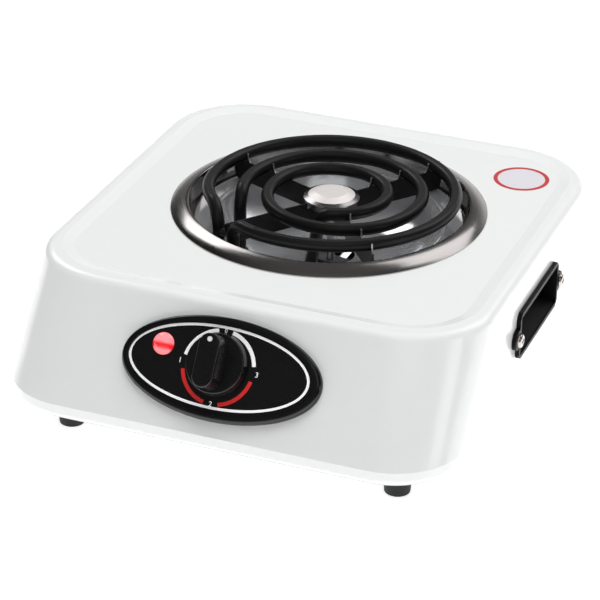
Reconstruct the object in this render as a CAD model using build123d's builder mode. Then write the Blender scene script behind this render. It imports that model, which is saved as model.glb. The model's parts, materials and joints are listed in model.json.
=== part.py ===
from build123d import *
from math import atan, cos, degrees, radians, sin, tan
import os

# Hot plate burner: an enamelled steel housing with one coil on a notched, four-armed stand.
# Millimetres. X runs across, Y from the front to the rear, Z up. The origin is the middle of the
# footprint, on the surface that the feet stand on.

os.makedirs("parts", exist_ok=True)

# ---- Driving dimensions -------------------------------------------------------------------------

# Housing
half_width = 136.1
half_depth = 137.1          # half of the top's depth
body_y = 22.38              # the top's middle, which puts the origin in the middle of the footprint
base_z = 22.5
lip_top_z = 31.2            # the upright lip ends and the front wall starts to lean back
top_z = 93.6
front_run_out = 41.5        # how far the front wall runs out from the top to the lip
front_radius_top = 52
front_radius_low = 43
rear_radius_top = 52
rear_radius_low = 58
top_edge_radius = 6
low_edge_radius = 4
sheet = 1.0
rim_width = 9.3             # flat rim around the sunk panel
rim_slope = 7.1
panel_drop = 1.9
flange_width = 12
base_inset = 4
base_thickness = 1.2

# Burner
ring_y = 6.0                # from the top's middle
ring_x = 1.5
ring_radius = 95.0
ring_rise = 5.2             # of the ring's crown over the sunk panel
ledge_radius = 82.5         # of the ring's ledge, which carries the pan
ledge_z = 84.0
ring_sheet = 0.8
pan_radius = 80.6
pan_floor_z = 61.0
pan_floor_radius = 25.0
pan_bend = (27.1, 7.0)      # how far in from the flange and up from the floor the bowl's wall turns
pan_sheet = 0.8
pan_hole = 15.0             # radius of the hole at the pan's middle
foot_hole = 6.0             # radius of the holes that the tubes pass through
burner_x = 3.0              # the coil, its stand and the cap sit a little to the right
tube_radius = 3.8
tube_z = 102.5
tube_flat_z = 106.0
loop_radius = 74.4
spiral_x = 1.3              # the spiral's middle, beside the loop's
spiral_start = (54.6, 195)                                      # radius and angle
spiral_arcs = [(53.9, 222), (44.8, 166), (35.2, 121), (31.4, 116)]   # radius and turn of each arc
tube_end_z = 64.0
web_low_z = 85.5
web_top_z = 98.7
horn_top_z = 104.5
hub_radius = 15.8
hub_low_z = 94.8            # the drum stands in the webs' notch at this height
hub_sheet = 1.2
sleeve_radius = 5.5
cap_radius = 16.9
cap_top_z = 102.6
cap_low_z = 98.5
cap_flat = 9.4              # radius of its flat middle
cap_sheet = 0.8
web_thickness = 0.9
bridge_z = 58.0             # top of the strip under the pan
bridge_angle = -12.8

# Control panel, measured on the front wall from the knob's axis
panel_x = -2.0
panel_z = 64.8
bezel_middle = (2.2, -2.5)
bezel_size = (59.5, 29.3)
bezel_height = 4.0
face_size = (55.0, 24.8)
face_top = 3.0
bezel_floor = 1.2
lamp_place = (-33.8, 5.5)
lamp_radius = 6.25
skirt_radius = 18.0
skirt_shoulder = 16.8       # radius at the top of the flared skirt
bar_low = (31.0, 13.0)      # length and width of the bar where it meets the skirt
bar_high = (30.4, 12.0)
knob_top = 24.0
shaft_radius = 3.0

# Side grips
grip_y = -6.5
grip_z = 56.1
grip_opening = (73.5, 24.6)
grip_wall = 1.2
grip_rim = 2.4
grip_proud = 2.6
grip_depth = 24.0
ear_spacing = 83

# Feet
foot_side_in = 36.2         # from the housing's side, lip and rear to the middle of a foot
foot_front_in = 36.0
foot_rear_in = 36.1
foot_x = half_width - foot_side_in
foot_front_y = foot_front_in - half_depth - front_run_out
foot_rear_y = half_depth - foot_rear_in
foot_places = {"front_left": (-foot_x, foot_front_y), "front_right": (foot_x, foot_front_y),
               "rear_left": (-foot_x, foot_rear_y), "rear_right": (foot_x, foot_rear_y)}
foot_radius_low = 7.4
foot_radius_top = 9.2

# ---- Planes and axes ----------------------------------------------------------------------------

wall_lean = degrees(atan(front_run_out / (top_z - lip_top_z)))
wall_y = -half_depth - (top_z - panel_z) * tan(radians(wall_lean))
panel = Plane((panel_x, body_y + wall_y, panel_z), x_dir=(1, 0, 0),
              z_dir=(0, -cos(radians(wall_lean)), sin(radians(wall_lean))))
burner_y = body_y + ring_y
ring_section = Plane((ring_x, burner_y, 0), x_dir=(1, 0, 0), z_dir=(0, -1, 0))
burner_section = Plane((burner_x, burner_y, 0), x_dir=(1, 0, 0), z_dir=(0, -1, 0))
ring_axis = Axis((ring_x, burner_y, 0), (0, 0, 1))
burner_axis = Axis((burner_x, burner_y, 0), (0, 0, 1))


def level(height):
    """A level plane over the middle of the top."""
    return Plane((0, body_y, height))


def burner_level(height, middle_x=burner_x):
    """A level plane over the burner."""
    return Plane((middle_x, burner_y, height))


def side_plane(height=grip_z, offset=0.0):
    """An upright plane along the housing's length, at the grips."""
    return Plane((offset, body_y + grip_y, height), x_dir=(0, 1, 0), z_dir=(1, 0, 0))


def on_burner(radius, angle, height=tube_z):
    """The point at a radius, an angle and a height about the burner's axis."""
    return Vector(burner_x + radius * cos(radians(angle)), burner_y + radius * sin(radians(angle)), height)


def housing_outline(height, inset, share=None):
    """The housing's outline at a height. share runs from 0 at the lip to 1 at the top."""
    if share is None:
        share = max(0.0, (height - lip_top_z) / (top_z - lip_top_z))
    front_radius = front_radius_low + share * (front_radius_top - front_radius_low)
    rear_radius = rear_radius_low + share * (rear_radius_top - rear_radius_low)
    side = half_width - inset
    front = inset - half_depth - front_run_out * (1 - share)
    rear = half_depth - inset
    with BuildSketch(level(height)) as outline:
        with BuildLine():
            Polyline((-side, front), (side, front), (side, rear), (-side, rear), close=True)
        make_face()
        fillet(outline.vertices().group_by(Axis.Y)[0], front_radius - inset)
        fillet(outline.vertices().group_by(Axis.Y)[-1], rear_radius - inset)
    return outline.sketch


base_screw_places = [(x, y) for x in (61.1 - half_width, half_width - 61.1)
                     for y in (-half_depth - front_run_out + 8.5, half_depth - 8.5)]
base_screw_places += [(x, -20) for x in (8.5 - half_width, half_width - 8.5)]
bridge_screw_reach = 69
switch_screw_reach = 13
inlet_place = (-62, 46)
earth_place = (-20, half_depth - 25.1)

# ---- Housing ------------------------------------------------------------------------------------

with BuildPart() as housing_inside:
    add(housing_outline(base_z + 1.2, sheet))
    extrude(amount=lip_top_z - base_z - 1.2)
    add(housing_outline(lip_top_z, sheet))
    add(housing_outline(top_z - sheet, sheet))
    loft()
    fillet(housing_inside.faces().sort_by(Axis.Z)[-1].edges(), top_edge_radius - sheet)
    fillet(housing_inside.faces().sort_by(Axis.Z)[0].edges(), low_edge_radius - sheet)
    add(housing_outline(top_z - sheet, rim_width - 0.6, 1))
    add(housing_outline(top_z - panel_drop - sheet, rim_width + rim_slope - 0.6, 1))
    loft(mode=Mode.SUBTRACT)

with BuildPart() as body_shell:
    add(housing_outline(base_z, 0))
    extrude(amount=lip_top_z - base_z)
    add(housing_outline(lip_top_z, 0))
    add(housing_outline(top_z, 0))
    loft()
    fillet(body_shell.faces().sort_by(Axis.Z)[-1].edges(), top_edge_radius)
    fillet(body_shell.faces().sort_by(Axis.Z)[0].edges(), low_edge_radius)
    # The sunk top panel
    add(housing_outline(top_z, rim_width, 1))
    add(housing_outline(top_z - panel_drop, rim_width + rim_slope, 1))
    loft(mode=Mode.SUBTRACT)
    add(housing_inside.part, mode=Mode.SUBTRACT)
    add(housing_outline(base_z, flange_width, 0))
    extrude(amount=2, mode=Mode.SUBTRACT)
    # The burner's hole
    with BuildSketch(burner_level(top_z, ring_x)):
        Circle(86)
    extrude(amount=-8, mode=Mode.SUBTRACT)
    # Openings and screw holes for the two side grips
    with BuildSketch(side_plane()):
        RectangleRounded(grip_opening[0] + 2 * grip_wall + 0.6, grip_opening[1] + 2 * grip_wall + 0.4, 0.3)
        with Locations((-ear_spacing / 2, 0), (ear_spacing / 2, 0)):
            Circle(2.2)
    extrude(amount=half_width + 4, both=True, mode=Mode.SUBTRACT)
    # Holes behind the control panel: shaft, lamp and switch screws
    with BuildSketch(panel.offset(2)):
        Circle(6)
        with Locations(lamp_place):
            Circle(lamp_radius + 0.2)
        with Locations((-switch_screw_reach, 0), (switch_screw_reach, 0)):
            Circle(1.7)
    extrude(amount=-6, mode=Mode.SUBTRACT)
    # Screw holes in the flange, and the cord's inlet in the rear wall
    with BuildSketch(level(base_z)):
        with Locations(*base_screw_places):
            Circle(1.6)
    extrude(amount=2, mode=Mode.SUBTRACT)
    with BuildSketch(Plane((inlet_place[0], body_y + half_depth + 2, inlet_place[1]), x_dir=(1, 0, 0),
                           z_dir=(0, -1, 0))):
        Circle(8)
    extrude(amount=6, mode=Mode.SUBTRACT)
body_shell.part.label = "body_shell"
export_step(body_shell.part, "parts/body_shell.step")

with BuildPart() as base_plate:
    add(housing_outline(base_z - base_thickness, base_inset, 0))
    extrude(amount=base_thickness)
    with BuildSketch(level(base_z)):
        with Locations(*base_screw_places, *foot_places.values(), earth_place):
            Circle(1.9)
        # Vents in two fields
        with Locations((0, -85), (0, 70)):
            with GridLocations(14, 40, 7, 2):
                SlotOverall(30, 5, rotation=90)
    extrude(amount=-3, mode=Mode.SUBTRACT)
    with BuildSketch(burner_level(base_z).rotated((0, 0, bridge_angle))):
        with Locations((-bridge_screw_reach, 0), (bridge_screw_reach, 0)):
            Circle(1.7)
    extrude(amount=-3, mode=Mode.SUBTRACT)
base_plate.part.label = "base_plate"
export_step(base_plate.part, "parts/base_plate.step")

with BuildPart() as cord_inlet:
    with BuildSketch(Plane((inlet_place[0], body_y + half_depth, inlet_place[1]), x_dir=(1, 0, 0),
                           z_dir=(0, 0, 1))):
        # Half section, with the bore along Y
        with BuildLine():
            Polyline((4.5, 2.5), (9.5, 2.5), (11, 1), (11, 0.1), (7.8, 0.1), (7.8, -1.1), (10, -1.1),
                     (8.5, -5), (4.5, -5), close=True)
        make_face()
    revolve(axis=Axis((inlet_place[0], 0, inlet_place[1]), (0, 1, 0)))
cord_inlet.part.label = "cord_inlet"
export_step(cord_inlet.part, "parts/cord_inlet.step")


def screw(head_plane, head_radius, head_height, shank_radius, length, cross=True):
    """A pan-head screw whose head stands on head_plane and whose shank runs the other way."""
    with BuildPart() as fastener:
        with BuildSketch(head_plane):
            Circle(head_radius)
        extrude(amount=head_height)
        fillet(fastener.faces().sort_by(Axis(head_plane.origin, head_plane.z_dir))[-1].edges(),
               head_height * 0.6)
        with BuildSketch(head_plane):
            Circle(shank_radius)
        extrude(amount=-length)
        if cross:
            with BuildSketch(head_plane.offset(head_height)):
                Rectangle(head_radius * 1.1, head_radius * 0.26)
                Rectangle(head_radius * 0.26, head_radius * 1.1)
            extrude(amount=-head_height * 0.6, mode=Mode.SUBTRACT)
    return fastener.part


base_screws = Part(children=[
    screw(Plane((x, body_y + y, base_z - base_thickness), z_dir=(0, 0, -1)), 3.0, 1.2, 1.5, 4)
    for x, y in base_screw_places])
base_screws.label = "base_screws"
export_step(base_screws, "parts/base_screws.step")

# ---- Feet ---------------------------------------------------------------------------------------

foot_screw_list = []
for place, (place_x, place_y) in foot_places.items():
    foot_plane = Plane((place_x, body_y + place_y, 0))
    with BuildPart() as foot:
        with BuildSketch(foot_plane):
            Circle(foot_radius_low)
        with BuildSketch(foot_plane.offset(base_z - base_thickness)):
            Circle(foot_radius_top)
        loft()
        fillet(foot.faces().sort_by(Axis.Z)[0].edges(), 0.8)
        with BuildSketch(foot_plane):
            Circle(4.2)
        extrude(amount=10, mode=Mode.SUBTRACT)
        with BuildSketch(foot_plane):
            Circle(1.9)
        extrude(amount=base_z, mode=Mode.SUBTRACT)
    foot.part.label = f"foot_{place}"
    export_step(foot.part, f"parts/foot_{place}.step")
    screw_plane = Plane((place_x, body_y + place_y, 10), z_dir=(0, 0, -1))
    foot_screw_list.append(screw(screw_plane, 3.4, 2.2, 1.7, 17))
foot_screws = Part(children=foot_screw_list)
foot_screws.label = "foot_screws"
export_step(foot_screws, "parts/foot_screws.step")

# ---- Lines of the heating tubes ------------------------------------------------------------------

inner_lead_foot = Vector(-2.0, burner_y - 28.5, 0)
with BuildLine() as outer_route:
    loop = CenterArc((burner_x, burner_y, tube_z), loop_radius, -104.5, 292.5)
    left_tuck = JernArc(loop @ 1, loop % 1, 55, 30)
    left_corner = left_tuck @ 1 + 16.5 * (left_tuck % 1)
    FilletPolyline(left_tuck @ 1, left_corner, (left_corner.X, left_corner.Y, tube_end_z), radius=14.9)
    front_tuck = JernArc(loop @ 0, -(loop % 0), 45, -15)
    front_corner = front_tuck @ 1 + 9.6 * (front_tuck % 1)
    FilletPolyline(front_tuck @ 1, front_corner, (front_corner.X, front_corner.Y, tube_end_z), radius=9.5)

with BuildLine() as inner_route:
    spiral_point = on_burner(*spiral_start) + Vector(spiral_x, 0, 0)
    heading = Vector(cos(radians(spiral_start[1] - 91)), sin(radians(spiral_start[1] - 91)), 0)
    spiral_corner = spiral_point - 12 * heading
    FilletPolyline((spiral_corner.X, spiral_corner.Y, tube_end_z), spiral_corner, spiral_point, radius=11.9)
    for radius, turn in spiral_arcs:
        arc = JernArc(spiral_point, heading, radius, -turn)
        spiral_point = arc @ 1
        heading = arc % 1
    lead_corner = spiral_point + 7.5 * heading
    lead_foot = Vector(inner_lead_foot.X, inner_lead_foot.Y, 50)
    FilletPolyline(spiral_point, lead_corner, lead_foot, radius=7)
tube_feet = (inner_lead_foot, left_corner, front_corner, spiral_corner)

# ---- Trim ring and drip pan ---------------------------------------------------------------------

panel_top = top_z - panel_drop
crown_z = panel_top + ring_rise
with BuildPart() as trim_ring:
    with BuildSketch(ring_section):
        with BuildLine():
            outer_edge = Line((ring_radius, panel_top), (ring_radius, panel_top + 0.6))
            crown = ThreePointArc(outer_edge @ 1, (ring_radius - 4.4, crown_z - 1.6),
                                  (ring_radius - 9.4, crown_z))
            lip = ThreePointArc(crown @ 1, (ring_radius - 10.4, crown_z - 0.1),
                                (ring_radius - 10.9, crown_z - 1.0))
            wall = Polyline(lip @ 1, (ledge_radius, ledge_z), (ledge_radius - 4.3, ledge_z),
                            (ledge_radius - 4.3, ledge_z - ring_sheet),
                            (ledge_radius + ring_sheet, ledge_z - ring_sheet),
                            (ring_radius - 10.1, crown_z - 1.5))
            hollow = ThreePointArc(wall @ 1, (ring_radius - 5.1, crown_z - 2.7),
                                   (ring_radius - 0.9, panel_top))
            Line(hollow @ 1, outer_edge @ 0)
        make_face()
    revolve(axis=ring_axis)
trim_ring.part.label = "trim_ring"
export_step(trim_ring.part, "parts/trim_ring.step")

with BuildPart() as drip_pan:
    with BuildSketch(ring_section):
        with BuildLine():
            flange = Polyline((pan_radius, ledge_z), (pan_radius, ledge_z + pan_sheet),
                              (pan_radius - 9.2, ledge_z + pan_sheet))
            ridge = ThreePointArc(flange @ 1, (pan_radius - 11.0, ledge_z + 1.5),
                                  (pan_radius - 12.7, ledge_z + 0.4))
            bend = (pan_radius - pan_bend[0], pan_floor_z + pan_bend[1])
            bowl = ThreePointArc(ridge @ 1, bend, (pan_floor_radius, pan_floor_z))
            floor = Polyline(bowl @ 1, (pan_hole - 4, pan_floor_z), (pan_hole - 4, pan_floor_z - pan_sheet),
                             (pan_floor_radius, pan_floor_z - pan_sheet))
            under = ThreePointArc(floor @ 1, (bend[0] + 0.6, bend[1] - 0.6),
                                  (pan_radius - 12.2, ledge_z - 0.5))
            Polyline(under @ 1, (pan_radius - 10.0, ledge_z), flange @ 0)
        make_face()
    revolve(axis=ring_axis)
    with BuildSketch(burner_level(pan_floor_z - 11)):
        Circle(pan_hole)
    extrude(amount=40, mode=Mode.SUBTRACT)
    with BuildSketch(Plane.XY.offset(pan_floor_z - 11)):
        with Locations(*[(end.X, end.Y) for end in tube_feet]):
            Circle(foot_hole)
    extrude(amount=40, mode=Mode.SUBTRACT)
drip_pan.part.label = "drip_pan"
export_step(drip_pan.part, "parts/drip_pan.step")

# ---- Heating tubes ------------------------------------------------------------------------------


def sweep_tube(route):
    """A round tube along a route."""
    with BuildPart() as tube:
        with BuildSketch(Plane(route @ 0, z_dir=route % 0)):
            Circle(tube_radius)
        sweep(path=route)
    return tube.part


with BuildPart() as outer_element:
    add(sweep_tube(outer_route.wire()))
    # The flat on top, all round but at the two ends
    with BuildSketch(burner_level(tube_flat_z)):
        Circle(loop_radius + 2 * tube_radius)
        Circle(loop_radius - 2 * tube_radius, mode=Mode.SUBTRACT)
        with BuildLine():
            Polyline((0, 0), *[(1.5 * loop_radius * cos(radians(a)), 1.5 * loop_radius * sin(radians(a)))
                               for a in (-106, -124, -142)], close=True)
        make_face(mode=Mode.SUBTRACT)
    extrude(amount=8, mode=Mode.SUBTRACT)
outer_element.part.label = "outer_element"
export_step(outer_element.part, "parts/outer_element.step")

with BuildPart() as inner_element:
    add(sweep_tube(inner_route.wire()))
    with BuildSketch(burner_level(tube_flat_z)):
        Circle(loop_radius - 2 * tube_radius)
    extrude(amount=8, mode=Mode.SUBTRACT)
inner_element.part.label = "inner_element"
export_step(inner_element.part, "parts/inner_element.step")

# Cold pins and ceramic seals below the four ends
seal_list = []
pin_list = []
lead_slant = (lead_foot - lead_corner).normalized()
tube_ends = [(Vector(left_corner.X, left_corner.Y, tube_end_z), Vector(0, 0, -1)),
             (Vector(front_corner.X, front_corner.Y, tube_end_z), Vector(0, 0, -1)),
             (Vector(spiral_corner.X, spiral_corner.Y, tube_end_z), Vector(0, 0, -1)),
             (lead_foot, lead_slant)]
for end, direction in tube_ends:
    with BuildPart() as seal:
        with BuildSketch(Plane(end, z_dir=direction)):
            Circle(4.3)
            Circle(1.55, mode=Mode.SUBTRACT)
        extrude(amount=5)
    seal_list.append(seal.part)
    with BuildPart() as pin:
        with BuildSketch(Plane(end, z_dir=direction)):
            Circle(1.5)
        extrude(amount=13)
    pin_list.append(pin.part)
element_seals = Part(children=seal_list)
element_seals.label = "element_seals"
export_step(element_seals, "parts/element_seals.step")
element_pins = Part(children=pin_list)
element_pins.label = "element_pins"
export_step(element_pins, "parts/element_pins.step")

# ---- Stand for the tubes ------------------------------------------------------------------------

# For each arm: its angle, its outer end, the radii at which a tube sits between horns, and the radii
# at which one only rests on top
arms = {"rear_right": (53.5, 81.4, (loop_radius, 53.5, 32.5), ()),
        "rear_left": (157.5, 82.5, (loop_radius, 52.7), (34.3,)),
        "front_left": (233.5, 75.0, (), (42.6,)),
        "front_right": (307.5, 81.4, (loop_radius, 54.3, 33.0), ())}
horn_foot = 7.1             # from the tube's middle to the horn's foot
for place, (angle, arm_end, horned, plain) in arms.items():
    web_plane = Plane((burner_x, burner_y, 0), x_dir=(cos(radians(angle)), sin(radians(angle)), 0),
                      z_dir=(sin(radians(angle)), -cos(radians(angle)), 0))
    with BuildPart() as arm:
        with BuildSketch(web_plane):
            with BuildLine():
                Polyline((sleeve_radius + 0.05, web_low_z), (arm_end - 4, web_low_z),
                         (arm_end - 2, web_low_z + 2), (arm_end, web_top_z - 2), (arm_end, web_top_z),
                         (hub_radius + 1.6, web_top_z), (hub_radius + 1.6, hub_low_z - 0.1),
                         (sleeve_radius + 0.05, hub_low_z - 0.1), close=True)
            make_face()
            for crossing in horned:
                with BuildLine():
                    near = ThreePointArc((crossing - horn_foot, web_top_z),
                                         (crossing - tube_radius - 1.1, tube_z - 1.5),
                                         (crossing - tube_radius - 0.5, horn_top_z))
                    far = ThreePointArc((crossing + horn_foot, web_top_z),
                                        (crossing + tube_radius + 1.1, tube_z - 1.5),
                                        (crossing + tube_radius + 0.5, horn_top_z))
                    Line(near @ 0, far @ 0)
                    Line(near @ 1, far @ 1)
                make_face()
            for crossing in (*horned, *plain):
                with Locations((crossing, tube_z)):
                    Circle(tube_radius + 0.25, mode=Mode.SUBTRACT)
        extrude(amount=web_thickness / 2, both=True)
    arm.part.label = f"spider_arm_{place}"
    export_step(arm.part, f"parts/spider_arm_{place}.step")

with BuildPart() as spider_hub:
    with BuildSketch(burner_section):
        with BuildLine():
            Polyline((2.8, web_low_z), (sleeve_radius, web_low_z), (sleeve_radius, hub_low_z),
                     (hub_radius, hub_low_z), (hub_radius, cap_low_z - 0.1),
                     (hub_radius - 1, cap_low_z - 0.1), (hub_radius - 1, hub_low_z + hub_sheet),
                     (2.8, hub_low_z + hub_sheet), close=True)
        make_face()
    revolve(axis=burner_axis)
spider_hub.part.label = "spider_hub"
export_step(spider_hub.part, "parts/spider_hub.step")

with BuildPart() as centre_cap:
    with BuildSketch(burner_section):
        with BuildLine():
            Polyline((0, cap_top_z), (cap_flat, cap_top_z), (cap_flat + cap_sheet, cap_top_z - 0.4),
                     (cap_radius, cap_low_z + 0.9), (cap_radius, cap_low_z), (cap_radius - 0.7, cap_low_z),
                     (cap_radius - 0.7, cap_low_z + 0.4), (cap_flat + 0.1, cap_top_z - cap_sheet),
                     (0, cap_top_z - cap_sheet), close=True)
        make_face()
    revolve(axis=burner_axis)
centre_cap.part.label = "centre_cap"
export_step(centre_cap.part, "parts/centre_cap.step")

with BuildPart() as centre_bolt:
    with BuildSketch(burner_level(hub_low_z + hub_sheet)):
        RegularPolygon(5, 6)
    extrude(amount=cap_top_z - hub_low_z - hub_sheet - 0.9)
    with BuildSketch(burner_level(hub_low_z + hub_sheet)):
        Circle(2.5)
    extrude(amount=-46)
centre_bolt.part.label = "centre_bolt"
export_step(centre_bolt.part, "parts/centre_bolt.step")

with BuildPart() as centre_nut:
    with BuildSketch(burner_level(bridge_z - 1.5)):
        RegularPolygon(4.6, 6)
        Circle(2.53, mode=Mode.SUBTRACT)
    extrude(amount=-4)
centre_nut.part.label = "centre_nut"
export_step(centre_nut.part, "parts/centre_nut.step")

bridge_plane = Plane((burner_x, burner_y, 0),
                     x_dir=(cos(radians(bridge_angle)), sin(radians(bridge_angle)), 0),
                     z_dir=(sin(radians(bridge_angle)), -cos(radians(bridge_angle)), 0))
with BuildPart() as centre_bridge:
    with BuildSketch(bridge_plane):
        with BuildLine():
            Polyline((-76, base_z), (-60, base_z), (-56, bridge_z - 1.5), (56, bridge_z - 1.5), (60, base_z),
                     (76, base_z), (76, base_z + 1.5), (61.4, base_z + 1.5), (57.4, bridge_z),
                     (-57.4, bridge_z), (-61.4, base_z + 1.5), (-76, base_z + 1.5), close=True)
        make_face()
    extrude(amount=5, both=True)
    with BuildSketch(burner_level(bridge_z).rotated((0, 0, bridge_angle))):
        Circle(2.8)
        with Locations((-bridge_screw_reach, 0), (bridge_screw_reach, 0)):
            Circle(1.7)
    extrude(amount=-40, mode=Mode.SUBTRACT)
centre_bridge.part.label = "centre_bridge"
export_step(centre_bridge.part, "parts/centre_bridge.step")

bridge_screw_places = [on_burner(reach, bridge_angle, base_z + 1.5)
                       for reach in (-bridge_screw_reach, bridge_screw_reach)]
bridge_screws = Part(children=[screw(Plane(place), 3.2, 2.0, 1.5, 5) for place in bridge_screw_places])
bridge_screws.label = "bridge_screws"
export_step(bridge_screws, "parts/bridge_screws.step")

# A small helical spring between a leg of the outer tube and the front left arm
web_touch = on_burner(71.5, arms["front_left"][0] - 0.8, 91.5)
leg_middle = Vector(left_corner.X, left_corner.Y, 88)
spring_way = (web_touch - leg_middle).normalized()
spring_start = leg_middle + (tube_radius + 0.7) * spring_way
spring_turns = 5
spring_length = (web_touch - spring_start).length - 0.4
with BuildPart() as arm_spring:
    with BuildLine() as coil_line:
        Helix(pitch=spring_length / spring_turns, height=spring_length, radius=1.9, center=spring_start,
              direction=spring_way)
    with BuildSketch(Plane(coil_line.line @ 0, z_dir=coil_line.line % 0)):
        Circle(0.45)
    sweep(is_frenet=True)
arm_spring.part.label = "arm_spring"
export_step(arm_spring.part, "parts/arm_spring.step")

# ---- Control panel ------------------------------------------------------------------------------

with BuildPart() as panel_bezel:
    with BuildSketch(panel):
        with Locations(bezel_middle):
            Ellipse(*bezel_size)
    extrude(amount=bezel_height)
    fillet(panel_bezel.faces().sort_by(Axis(panel.origin, panel.z_dir))[-1].edges(), 2.6)
    with BuildSketch(panel.offset(bezel_floor)):
        with Locations(bezel_middle):
            Ellipse(face_size[0] + 0.1, face_size[1] + 0.1)
    extrude(amount=bezel_height, mode=Mode.SUBTRACT)
    with BuildSketch(panel):
        Circle(6)
        with Locations(lamp_place):
            Circle(lamp_radius + 0.15)
        with Locations((-switch_screw_reach, 0), (switch_screw_reach, 0)):
            Circle(1.7)
    extrude(amount=bezel_height, mode=Mode.SUBTRACT)
panel_bezel.part.label = "panel_bezel"
export_step(panel_bezel.part, "parts/panel_bezel.step")

with BuildPart() as panel_face:
    with BuildSketch(panel.offset(bezel_floor)):
        with Locations(bezel_middle):
            Ellipse(*face_size)
        Circle(5, mode=Mode.SUBTRACT)
        with Locations(lamp_place):
            Circle(lamp_radius + 0.1, mode=Mode.SUBTRACT)
        with Locations((-switch_screw_reach, 0), (switch_screw_reach, 0)):
            Circle(3.2, mode=Mode.SUBTRACT)
    extrude(amount=face_top - bezel_floor)
panel_face.part.label = "panel_face"
export_step(panel_face.part, "parts/panel_face.step")


def panel_point(across, up, out):
    """A point given along the panel's own directions."""
    return panel.from_local_coords(Vector(across, up, out))


lamp_base = Plane(panel_point(*lamp_place, 0), x_dir=(1, 0, 0), z_dir=panel.z_dir)
lamp_edge = face_top + 0.5
with BuildPart() as pilot_lamp_lens:
    # Half section, with the dome outwards
    with BuildSketch(Plane(lamp_base.origin, x_dir=(1, 0, 0), z_dir=-1 * lamp_base.y_dir)):
        with BuildLine():
            rim = Polyline((0, lamp_edge + 3.1), (0, -4), (lamp_radius, -4), (lamp_radius, lamp_edge))
            TangentArc(rim @ 0, rim @ 1, tangent=(1, 0))
        make_face()
    revolve(axis=Axis(lamp_base.origin, lamp_base.z_dir))
pilot_lamp_lens.part.label = "pilot_lamp_lens"
export_step(pilot_lamp_lens.part, "parts/pilot_lamp_lens.step")

with BuildPart() as pilot_lamp_body:
    with BuildSketch(lamp_base.offset(-4)):
        Circle(5.6)
    extrude(amount=-14)
pilot_lamp_body.part.label = "pilot_lamp_body"
export_step(pilot_lamp_body.part, "parts/pilot_lamp_body.step")

with BuildPart() as lamp_clip:
    with BuildSketch(lamp_base.offset(-1)):
        Circle(9)
        Circle(lamp_radius + 0.05, mode=Mode.SUBTRACT)
    extrude(amount=-0.8)
lamp_clip.part.label = "lamp_clip"
export_step(lamp_clip.part, "parts/lamp_clip.step")

skirt_low = face_top + 0.7
skirt_top = 8.6
with BuildPart() as control_knob:
    with BuildSketch(panel.offset(skirt_low)):
        Circle(skirt_radius)
    with BuildSketch(panel.offset(skirt_top)):
        Circle(skirt_shoulder)
    loft()
    fillet(control_knob.faces().sort_by(Axis(panel.origin, panel.z_dir))[-1].edges(), 0.7)
    with BuildSketch(panel.offset(skirt_top)):
        SlotOverall(*bar_low, rotation=90)
    with BuildSketch(panel.offset(knob_top)):
        SlotOverall(*bar_high, rotation=90)
    loft()
    fillet(control_knob.faces().sort_by(Axis(panel.origin, panel.z_dir))[-1].edges(), 0.8)
    with BuildSketch(panel.offset(skirt_low)):
        Circle(shaft_radius + 0.02)
    extrude(amount=14.5, mode=Mode.SUBTRACT)
control_knob.part.label = "control_knob"
export_step(control_knob.part, "parts/control_knob.step")

switch_front = -1.0
switch_rear = -24.0
with BuildPart() as switch_shaft:
    with BuildSketch(panel.offset(switch_rear + 2)):
        Circle(shaft_radius)
    extrude(amount=skirt_low + 14 - switch_rear - 2)
switch_shaft.part.label = "switch_shaft"
export_step(switch_shaft.part, "parts/switch_shaft.step")

with BuildPart() as selector_switch:
    with BuildSketch(panel.offset(switch_front)):
        RectangleRounded(36, 32, 4)
        with Locations((-switch_screw_reach, 0), (switch_screw_reach, 0)):
            Circle(1.5, mode=Mode.SUBTRACT)
    extrude(amount=switch_rear - switch_front)
    with BuildSketch(panel.offset(switch_front)):
        Circle(shaft_radius + 0.06)
    extrude(amount=switch_rear - switch_front + 1.9, mode=Mode.SUBTRACT)
selector_switch.part.label = "selector_switch"
export_step(selector_switch.part, "parts/selector_switch.step")

tag_places = [(-13, -9), (-4.5, -9), (4.5, -9), (13, -9), (1, 9), (10, 9), (-14, 9), (-8, 9)]
tag_list = []
for across, up in tag_places:
    with BuildPart() as tag:
        with BuildSketch(panel.offset(switch_rear - 0.02)):
            with Locations((across, up)):
                Rectangle(0.8, 5)
        extrude(amount=-7)
    tag_list.append(tag.part)
switch_tags = Part(children=tag_list)
switch_tags.label = "switch_tags"
export_step(switch_tags, "parts/switch_tags.step")

switch_screws = Part(children=[
    screw(Plane(panel_point(reach, 0, bezel_floor), x_dir=(1, 0, 0), z_dir=panel.z_dir), 2.7, 1.5, 1.4, 11)
    for reach in (-switch_screw_reach, switch_screw_reach)])
switch_screws.label = "switch_screws"
export_step(switch_screws, "parts/switch_screws.step")

# ---- Side grips ---------------------------------------------------------------------------------

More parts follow.
